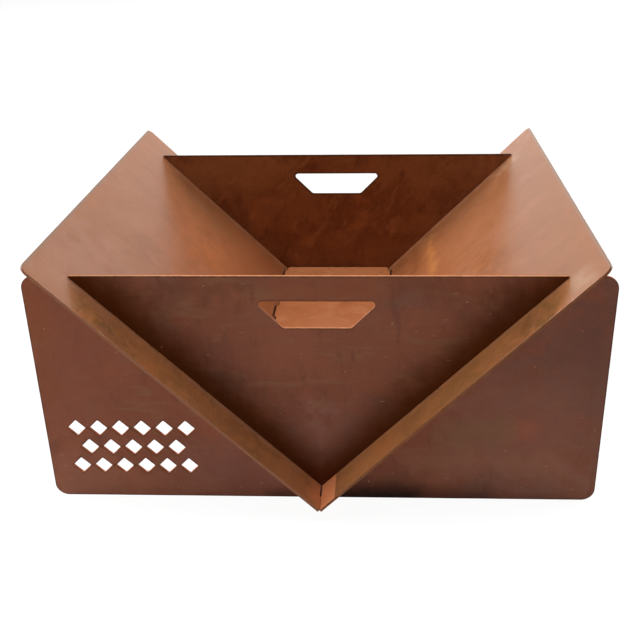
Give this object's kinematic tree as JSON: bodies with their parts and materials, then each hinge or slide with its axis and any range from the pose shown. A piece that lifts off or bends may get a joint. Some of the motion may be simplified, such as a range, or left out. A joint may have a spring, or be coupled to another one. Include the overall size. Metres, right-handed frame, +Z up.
{
  "type": "fire bowl",
  "caption": "Flat-pack V-shaped fire bowl of interlocking steel plates: upright end panels with hand holes, sloping side panels in halving joints, and a lift-out floor plate.",
  "frame": {"origin": "on the ground under the middle of the bowl", "axes": "+Z up, +X to the right along the end panels, -Y towards the front panel"},
  "size_m": [0.6, 0.545, 0.2948],
  "materials": {
    "end_panel_steel": "matte dark brown rust patina",
    "side_panel_steel": "matte brown rust patina, paler towards the top edge",
    "base_plate_steel": "matte orange rust patina"
  },
  "bodies": {
    "end_panels": {"front_panel": "end_panel_steel", "back_panel": "end_panel_steel"},
    "left_panel": {"left_panel": "side_panel_steel"},
    "right_panel": {"right_panel": "side_panel_steel"},
    "base_plate": {"base_plate": "base_plate_steel"}
  },
  "joints": [
    {"name": "left_panel_slide", "type": "slide", "parent": "end_panels", "child": "left_panel", "axis": [-0.7071, 0, 0.7071], "range_m": [0, 0.37]},
    {"name": "right_panel_slide", "type": "slide", "parent": "end_panels", "child": "right_panel", "axis": [0.7071, 0, 0.7071], "range_m": [0, 0.37]},
    {"name": "base_plate_lift", "type": "slide", "parent": "left_panel", "child": "base_plate", "axis": [0, 0, 1], "range_m": [0, 0.21]}
  ],
  "couplings": [
    {"joint": "right_panel_slide", "follows": "left_panel_slide", "ratio": 1}
  ]
}
